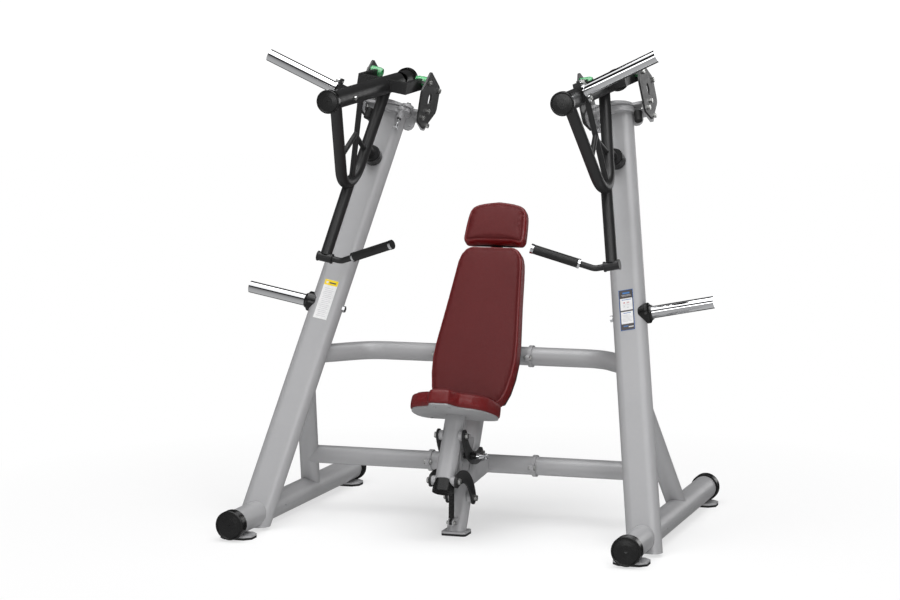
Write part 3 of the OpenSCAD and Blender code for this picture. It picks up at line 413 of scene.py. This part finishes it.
def green_enamel():
    """Glossy enamel on the pivot hubs, paler along the edges, partly rubbed wear and partly a painted
    highlight.
    """
    p = Paint("green_enamel_look").set(Specular_IOR_Level=0.5, Coat_Weight=0.3, Coat_Roughness=0.15)
    body = p.ramp(p.noise(30, 4), [(0.3, (0.020, 0.34, 0.09)), (0.7, (0.028, 0.41, 0.12))])
    # Paler along the edges: partly rubbed wear, partly a painted highlight where the edges catch the light.
    colour = p.mix(p.edge_mask(0.0014, 0.99, 0.86), body, (0.25, 0.42, 0.28))
    p.soft_edges(0.001)
    p.bump(p.noise(300, 2), 0.0003, 0.3)
    return p.finish(colour, p.remap(p.noise(50, 4), 0.26, 0.36))


def thread_look():
    """Spun sewing thread, darker than the vinyl."""
    p = Paint("thread_look").set(Specular_IOR_Level=0.3)
    colour = p.ramp(p.noise(900, 3), [(0.3, (0.06, 0.004, 0.006)), (0.7, (0.10, 0.008, 0.01))])
    p.bump(p.noise(3000, 2), 0.0002, 0.5)
    return p.finish(colour, p.remap(p.noise(200, 3), 0.5, 0.7))


THREAD = thread_look()
MATERIALS = {
    "frame_grey": powder_coat("frame_grey_look", 0.365, 0.385, 0.40, 0.1, (0.41, 0.41, 0.415)),
    "plate_grey": powder_coat("plate_grey_look", 0.32, 0.345, 0.42, 0.1, (0.37, 0.37, 0.375)),
    "arm_graphite": powder_coat("arm_graphite_look", 0.010, 0.012, 0.42, 0.0, (0.014, 0.014, 0.015)),
    "black_plastic": moulded("black_plastic_look", 0.005, 0.007, 0.26, 900, 0.00003),
    "black_rubber": moulded("black_rubber_look", 0.006, 0.010, 0.6, 700, 0.0003),
    "grip_rubber": moulded("grip_rubber_look", 0.006, 0.010, 0.45, 520, 0.0005),
    "pad_board": moulded("pad_board_look", 0.007, 0.011, 0.5, 800, 0.0003),
    "chrome": metal("chrome_look", 0.84, 0.05, 300, (0.99, 1.0, 1.01), 0),
    "zinc": metal("zinc_look", 0.66, 0.26, 500, (0.99, 1.0, 0.97), 0.0008),
    "green_coat": green_enamel(),
    "placard": moulded("placard_look", 0.75, 0.80, 0.3, 900, 0.00005),
    # The vinyl's two reds are painted light: a greyer panel with painted sheen and a purer red border, both
    # one vinyl.
    "vinyl": vinyl("vinyl_look", (0.112, 0.0090, 0.0098), (0.150, 0.0012, 0.0020), 620, 0.0005),
}


def dress_cad():
    """Every CAD node takes the procedural look of its own slot."""
    for node in nodes.values():
        for slot in node.material_slots:
            base = slot.material.name.split(".")[0]
            slot.link = "OBJECT"
            slot.material = MATERIALS[base]


dress_cad()


# ---------- pads ----------

# Right half of each pad's outline in the plane of its board, in millimetres.
BACK_HALF = [(0, 498), (92, 498), (120, 503), (138, 514), (152, 530), (168, 572), (181, 640), (186, 711),
             (182, 786), (163, 966), (151, 1096), (145, 1150), (135, 1184), (116, 1210), (90, 1222),
             (0, 1224)]
HEAD_HALF = [(0, 1241), (74, 1240), (98, 1234), (112, 1231), (128, 1236), (136, 1250), (136, 1264),
             (131, 1352), (125, 1384), (114, 1402), (97, 1413), (60, 1423), (0, 1431)]
SEAT_HALF = [(0, -245), (30, -245), (43, -239), (51, -226), (57, -204), (69, -183), (91, -168), (121, -152),
             (146, -130), (164, -98), (176, -57), (181, -10), (179, 33), (169, 66), (150, 86), (119, 94),
             (0, 95)]

# Front of the pads' boards on the seat column, and the top of the seat's board.
BACK_Y = -83.0
SEAT_Z = 6.0
# Full thickness of the pads over their boards, crown included.
PAD_T = 60.0
SEAT_T = 64.0

# A pad's edge in section: distance from the back or from the front, and how far the outline
# steps in there.
BACK_EDGE = [(0.0, 7.0), (1.5, 2.5), (5.0, 0.5), (10.0, 0.0)]
FRONT_EDGE = [(17.0, 0.0), (11.0, 0.9), (6.2, 3.2), (2.8, 7.0), (0.9, 12.0), (0.0, 18.0)]
VOXEL = 0.005

# The skin stays fixed to its board up to this depth.
BOARD_DEPTH = 5.0
CLOTH_PRESSURE = 4.0
CLOTH_FRAMES = 20

# Shares of the thickness: where the crowned front begins, how much further on it is in full, and
# up to where the sides have the border's smoother vinyl and its painted deeper red.
FRONT_START = 0.55
FRONT_SPAN = 0.35
BORDER_TOP = 0.72
# The crown rises from this far inside the outline, over about this distance.
CROWN_START = 12.0
CROWN_REACH = 55.0
SEAM_DEPTH = 3.4
SEAM_WIDTH = 4.0
# The border's smoother vinyl and its painted deeper red end this far past the seam, fading over
# the second distance there and over the third one on the sides.
BORDER_PAST_SEAM = 3.0
BORDER_FADE = 5.0
BORDER_SIDE_FADE = 4.0

STITCH_PITCH = 7.0
# The seam is looked for from this far over the pad.
SEAM_CLEAR = 40.0
# Where a stitch starts and ends between two holes.
STITCH_START = 0.14
STITCH_END = 0.80
# A stitch along its length: share of the length, half width, height over the vinyl.
STITCH = [(0.0, 0.25, -0.08), (0.22, 0.62, 0.28), (0.5, 0.70, 0.44), (0.78, 0.62, 0.28),
          (1.0, 0.25, -0.08)]
STITCH_SIDES = 6


def smooth_outline(half, step=6.0, passes=2):
    """Closed outline from its right half: mirrored, resampled evenly and smoothed."""
    full = [Vector(p) for p in half] + [Vector((-p[0], p[1])) for p in reversed(half[1:-1])]
    points = []
    for a, b in zip(full, full[1:] + full[:1]):
        count = max(1, round((b - a).length / step))
        points += [a.lerp(b, i / count) for i in range(count)]
    for _ in range(passes):
        points = [(points[i - 1] + points[i] * 2 + points[(i + 1) % len(points)]) / 4
                  for i in range(len(points))]
    return points


def evenly(points, step):
    """The same closed line with points the given distance apart."""
    lengths = [(points[(i + 1) % len(points)] - p).length for i, p in enumerate(points)]
    total = sum(lengths)
    count = round(total / step)
    out, i, gone = [], 0, 0.0
    for k in range(count):
        target = total * k / count
        while gone + lengths[i] < target:
            gone += lengths[i]
            i += 1
        t = (target - gone) / lengths[i]
        out.append(points[i].lerp(points[(i + 1) % len(points)], t))
    return out


def inset(points, distance):
    """The outline moved inward along its own normals."""
    moved = []
    for i, p in enumerate(points):
        along = (points[(i + 1) % len(points)] - points[i - 1]).normalized()
        moved.append(p + Vector((-along.y, along.x)) * distance)
    return moved


def to_outline(xy, outline):
    """Distance of every point from the outline."""
    a = np.array([tuple(p) for p in outline])
    b = np.roll(a, -1, axis=0)
    best = np.full(len(xy), 1e9)
    for p, q in zip(a, b):
        d = q - p
        t = np.clip(((xy - p) @ d) / (d @ d), 0, 1)
        best = np.minimum(best, np.linalg.norm(xy - p - t[:, None] * d, axis=1))
    return best


def to_mesh(name, verts, faces, place):
    mesh = bpy.data.meshes.new(name)
    mesh.from_pydata([tuple(place @ (Vector(v) * MM)) for v in verts], [], faces)
    mesh.update()
    obj = bpy.data.objects.new(name, mesh)
    scene.collection.objects.link(obj)
    return obj


def loft(rings):
    """Vertices and faces of a closed form through rings of the same length."""
    n = len(rings[0])
    verts = [p for ring in rings for p in ring]
    faces = [tuple(range(n - 1, -1, -1)), tuple(range((len(rings) - 1) * n, len(rings) * n))]
    for k in range(len(rings) - 1):
        for i in range(n):
            j = (i + 1) % n
            faces.append((k * n + i, k * n + j, (k + 1) * n + j, (k + 1) * n + i))
    return verts, faces


def select_only(obj):
    bpy.ops.object.select_all(action="DESELECT")
    obj.select_set(True)
    bpy.context.view_layer.objects.active = obj


def apply(obj, modifier):
    select_only(obj)
    bpy.ops.object.modifier_apply(modifier=modifier.name)


def remesh(obj, voxel):
    m = obj.modifiers.new("voxels", "REMESH")
    m.mode = "VOXEL"
    m.voxel_size = voxel
    m.use_smooth_shade = True
    apply(obj, m)


def coords(obj):
    co = np.zeros(len(obj.data.vertices) * 3)
    obj.data.vertices.foreach_get("co", co)
    return co.reshape(-1, 3)


def set_coords(obj, co):
    obj.data.vertices.foreach_set("co", co.astype(np.float32).ravel())
    obj.data.update()


def local(obj, place):
    """Vertices in a pad's own frame, in millimetres."""
    m = np.array(place.inverted())
    return (coords(obj) @ m[:3, :3].T + m[:3, 3]) / MM


def from_local(obj, points, place):
    m = np.array(place)
    set_coords(obj, (points * MM) @ m[:3, :3].T + m[:3, 3])


def puff(obj, place, depth_of, cap):
    """Cloth skin blown up a little over the foam. The back stays fixed to its board."""
    rest = coords(obj)
    pinned = depth_of(local(obj, place)) < BOARD_DEPTH
    group = obj.vertex_groups.new(name="board")
    group.add([int(i) for i in np.nonzero(pinned)[0]], 1.0, "REPLACE")
    m = obj.modifiers.new("skin", "CLOTH")
    m.settings.quality = 4
    m.settings.mass = 0.4
    m.settings.tension_stiffness = 25
    m.settings.compression_stiffness = 25
    m.settings.shear_stiffness = 10
    m.settings.bending_stiffness = 6
    m.settings.use_pressure = True
    m.settings.uniform_pressure_force = CLOTH_PRESSURE
    m.settings.vertex_group_mass = group.name
    m.settings.effector_weights.gravity = 0
    m.collision_settings.use_collision = False
    for at in range(1, CLOTH_FRAMES + 1):
        scene.frame_set(at)
    blown = obj.evaluated_get(bpy.context.evaluated_depsgraph_get())
    move = coords(blown) - rest
    size = np.linalg.norm(move, axis=1)
    limit = cap * MM
    move *= (limit * np.tanh(size / limit) / np.maximum(size, 1e-9))[:, None]
    obj.modifiers.remove(m)
    scene.frame_set(1)
    set_coords(obj, rest + move)


def subdivide(obj):
    m = obj.modifiers.new("subdivision", "SUBSURF")
    m.levels = 1
    apply(obj, m)


def smooth(obj):
    for polygon in obj.data.polygons:
        polygon.use_smooth = True


def pad_mesh(name, half, thickness, place, point_of, shrink):
    """Foam block over its outline: a soft back edge, upright sides and a rolled front edge."""
    outline = smooth_outline(half)
    section = BACK_EDGE + [(thickness * 0.5, 0.0)] + [(thickness - d, cut) for d, cut in FRONT_EDGE]
    rings = [[point_of(p.x, p.y, depth) for p in inset(outline, cut + shrink)]
             for depth, cut in section]
    verts, faces = loft(rings)
    obj = to_mesh(name, verts, faces, place)
    bm = bmesh.new()
    bm.from_mesh(obj.data)
    bmesh.ops.recalc_face_normals(bm, faces=bm.faces)
    bm.to_mesh(obj.data)
    bm.free()
    return obj, outline


def crown_and_groove(obj, outline, place, plane_of, depth_of, push, thickness, crown, seam_in):
    """Crowned middle, with the panel's seam drawn in round its edge.

    The border attribute is 1 on the rolled edge and the sides, and 0 on the middle panel. The vinyl makes
    it smoother there and paints it a deeper red, a painted stand-in for how the edge takes the light.
    """
    points = local(obj, place)
    away = to_outline(plane_of(points), outline)
    front = np.clip((depth_of(points) - thickness * FRONT_START) / (thickness * FRONT_SPAN), 0, 1)
    swell = crown * (1 - np.exp(-np.maximum(away - CROWN_START, 0) / CROWN_REACH))
    groove = SEAM_DEPTH * np.exp(-((away - seam_in) / SEAM_WIDTH) ** 2)
    points = push(points, front * (swell - groove))
    from_local(obj, points, place)
    rim = np.clip((seam_in + BORDER_PAST_SEAM - away) / BORDER_FADE, 0, 1)
    side = np.clip((thickness * BORDER_TOP - depth_of(points)) / BORDER_SIDE_FADE, 0, 1)
    border = obj.data.attributes.new("border", "FLOAT", "POINT")
    border.data.foreach_set("value", np.maximum(rim, side).astype(np.float32))


def seam_hits(pad, outline, place, point_of, into, seam_in, thickness):
    """Points and normals of the pad's real surface along its seam."""
    tree = BVHTree.FromObject(pad, bpy.context.evaluated_depsgraph_get())
    back = (place.to_3x3() @ Vector(into)).normalized()
    hits = []
    for p in evenly(inset(outline, seam_in), STITCH_PITCH):
        start = place @ (Vector(point_of(p.x, p.y, thickness + SEAM_CLEAR)) * MM)
        point, normal = tree.ray_cast(start, back)[:2]
        if point is not None:
            hits.append((point, normal))
    return hits


def stitch(a, b, normal, base):
    """Vertices and faces of one thread stitch from a to b, numbered from base."""
    side = (b - a).normalized().cross(normal).normalized()
    verts = []
    faces = []
    for t, wide, high in STITCH:
        centre = a.lerp(b, t) + normal * (high * MM)
        for k in range(STITCH_SIDES):
            angle = 2 * math.pi * k / STITCH_SIDES
            offset = side * math.cos(angle) + normal * math.sin(angle)
            verts.append(centre + offset * (wide * MM))
    for r in range(len(STITCH) - 1):
        near = base + r * STITCH_SIDES
        far = near + STITCH_SIDES
        for k in range(STITCH_SIDES):
            m = (k + 1) % STITCH_SIDES
            faces.append((near + k, near + m, far + m, far + k))
    last = base + (len(STITCH) - 1) * STITCH_SIDES
    faces.append(tuple(base + k for k in range(STITCH_SIDES - 1, -1, -1)))
    faces.append(tuple(last + k for k in range(STITCH_SIDES)))
    return verts, faces


def sew(name, hits, body):
    """Thread stitches from point to point of a seam."""
    verts = []
    faces = []
    for i, (p, normal) in enumerate(hits):
        q = hits[(i + 1) % len(hits)][0]
        more, sides = stitch(p.lerp(q, STITCH_START), p.lerp(q, STITCH_END), normal, len(verts))
        verts += more
        faces += sides
    mesh = bpy.data.meshes.new(name)
    mesh.from_pydata([tuple(v) for v in verts], [], faces)
    thread = bpy.data.objects.new(name, mesh)
    scene.collection.objects.link(thread)
    smooth(thread)
    mesh.materials.append(THREAD)
    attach(thread, body)


def upholster(obj, outline, place, axes, thickness, crown, cap, seam_in, body):
    """Foam block to finished cushion: skin, crown, seam, vinyl and stitches."""
    point_of, depth_of, plane_of, push, into = axes
    remesh(obj, VOXEL)
    puff(obj, place, depth_of, cap)
    subdivide(obj)
    crown_and_groove(obj, outline, place, plane_of, depth_of, push, thickness, crown, seam_in)
    smooth(obj)
    obj.data.materials.clear()
    obj.data.materials.append(MATERIALS["vinyl"])
    hits = seam_hits(obj, outline, place, point_of, into, seam_in, thickness)
    sew(obj.name + "_stitches", hits, body)


def upright_pad(name, half, node, crown, cap, seam_in):
    """A pad on the seat column: drawn in (x, s), thick towards -y."""
    def point_of(x, s, depth):
        return (x, BACK_Y - depth, s)

    def depth_of(points):
        return BACK_Y - points[:, 1]

    def plane_of(points):
        return points[:, [0, 2]]

    def push(points, amount):
        points[:, 1] -= amount
        return points

    thickness = PAD_T - crown
    axes = (point_of, depth_of, plane_of, push, (0, 1, 0))
    obj, outline = pad_mesh(name, half, thickness, COLUMN, point_of, shrink=2.0)
    upholster(obj, outline, COLUMN, axes, thickness, crown, cap, seam_in, "frame")
    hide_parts(node)
    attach(obj, "frame")


def seat_cushion(crown, cap, seam_in):
    """The seat's pad: drawn in (x, y), thick towards z."""
    def point_of(x, y, depth):
        return (x, y, SEAT_Z + depth)

    def depth_of(points):
        return points[:, 2] - SEAT_Z

    def plane_of(points):
        return points[:, [0, 1]]

    def push(points, amount):
        points[:, 2] += amount
        return points

    thickness = SEAT_T - crown
    axes = (point_of, depth_of, plane_of, push, (0, 0, -1))
    obj, outline = pad_mesh("seat_cushion", SEAT_HALF, thickness, SEAT, point_of, shrink=1.5)
    upholster(obj, outline, SEAT, axes, thickness, crown, cap, seam_in, "seat_carrier")
    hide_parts("seat_pad")
    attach(obj, "seat_carrier")


upright_pad("back_cushion", BACK_HALF, "back_pad", crown=5.0, cap=4.0, seam_in=15.0)
upright_pad("head_cushion", HEAD_HALF, "head_pad", crown=5.0, cap=4.0, seam_in=14.0)
seat_cushion(crown=4.0, cap=3.5, seam_in=15.0)


# ---------- printed fronts of the placards ----------

# Front face and lower end of a placard in its upright's frame, and the thickness of one printed layer.
PLACARD_FRONT = -39.25
PLACARD_LOW = 848
PRINT_STEP = 0.12


def ink(name, colour):
    """A slightly uneven printed colour under a thin clear film."""
    p = Paint(name).set(Specular_IOR_Level=0.45)
    faded = tuple(c * 0.88 + 0.006 for c in colour)
    shade = p.ramp(p.noise(70, 5), [(0.3, faded), (0.7, colour)])
    p.bump(p.noise(380, 2), 0.0001, 0.08)
    return p.finish(shade, p.remap(p.noise(90, 4), 0.28, 0.42))


def print_boxes(name, place, boxes, layer, look):
    """Thin printed fields: (x0, x1, z0, z1) on the front of one placard."""
    work = bmesh.new()
    front = PLACARD_FRONT - PRINT_STEP * layer

    def corners(ring, y):
        return [work.verts.new(place @ (Vector((x, y, PLACARD_LOW + z)) * MM)) for x, z in ring]

    for x0, x1, z0, z1 in boxes:
        ring = [(x0, z0), (x1, z0), (x1, z1), (x0, z1)]
        near = corners(ring, front)
        far = corners(ring, front + PRINT_STEP)
        work.faces.new(near)
        work.faces.new(far[::-1])
        for i in range(4):
            j = (i + 1) % 4
            work.faces.new((near[j], near[i], far[i], far[j]))
    bmesh.ops.recalc_face_normals(work, faces=work.faces)
    mesh = bpy.data.meshes.new(name)
    work.to_mesh(mesh)
    work.free()
    piece = bpy.data.objects.new(name, mesh)
    scene.collection.objects.link(piece)
    mesh.materials.append(look)
    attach(piece, "frame")


INK_NAVY = ink("ink_navy", (0.03, 0.11, 0.33))
INK_CHARCOAL = ink("ink_charcoal", (0.07, 0.062, 0.058))
INK_WHITE = ink("ink_white", (0.80, 0.80, 0.80))
INK_GREY = ink("ink_grey", (0.50, 0.50, 0.52))
INK_YELLOW = ink("ink_yellow", (0.90, 0.66, 0.004))
INK_BLUE = ink("ink_blue", (0.06, 0.19, 0.46))
INK_RED = ink("ink_red", (0.50, 0.04, 0.03))


def right_placard():
    """A dark card with a blue border, two pale picture panels and short grey text bars."""
    rows = [(-20, 18 - 3 * (i % 3), 38 + 5.2 * i, 39.4 + 5.2 * i) for i in range(6)]
    print_boxes("right_print_border", UPRIGHT, [(-30, 30, 0, 174)], 1, INK_NAVY)
    print_boxes("right_print_ground", UPRIGHT, [(-27.6, 27.6, 2.4, 171.6)], 2, INK_CHARCOAL)
    print_boxes("right_print_panels", UPRIGHT,
                [(-25.5, 25.5, 86, 137), (-25, 25, 28, 80), (4, 24, 12, 16)], 3, INK_WHITE)
    print_boxes("right_print_heads", UPRIGHT,
                [(-14, 16, 156, 163), (-18, 20, 129.5, 132), (-14, 16, 72.5, 75), (-17, 2, 16, 20)],
                4, INK_BLUE)
    print_boxes("right_print_rows", UPRIGHT,
                rows + [(-20, 20, 150, 151.6), (-17, 22, 146, 147.4), (-13, -6, 100, 103), (2, 9, 96, 99),
                        (-14, -2, 108, 109.2), (2, 11, 108, 109.2)], 4, INK_GREY)
    print_boxes("right_print_marks", UPRIGHT,
                [(-12, -6, 116, 120), (3, 5, 115, 121), (9, 11, 115, 121)], 4, INK_RED)


def left_placard():
    """A white card with a yellow band and grey text bars."""
    place = MIRROR @ UPRIGHT
    rows = [(-22 + 5 * (i % 2), 21 - 2 * (i % 3), 12 + 8.2 * i, 13.6 + 8.2 * i) for i in range(16)]
    print_boxes("left_print_ground", place, [(-30, 30, 0, 174)], 1, INK_WHITE)
    print_boxes("left_print_band", place, [(-29.6, 29.6, 150, 173.6)], 2, INK_YELLOW)
    print_boxes("left_print_rows", place, rows, 2, INK_GREY)
    print_boxes("left_print_mark", place, [(-21, 8, 158, 164)], 3, INK_CHARCOAL)
    print_boxes("left_print_spot", place, [(13, 22, 157, 166)], 3, INK_WHITE)


right_placard()
left_placard()
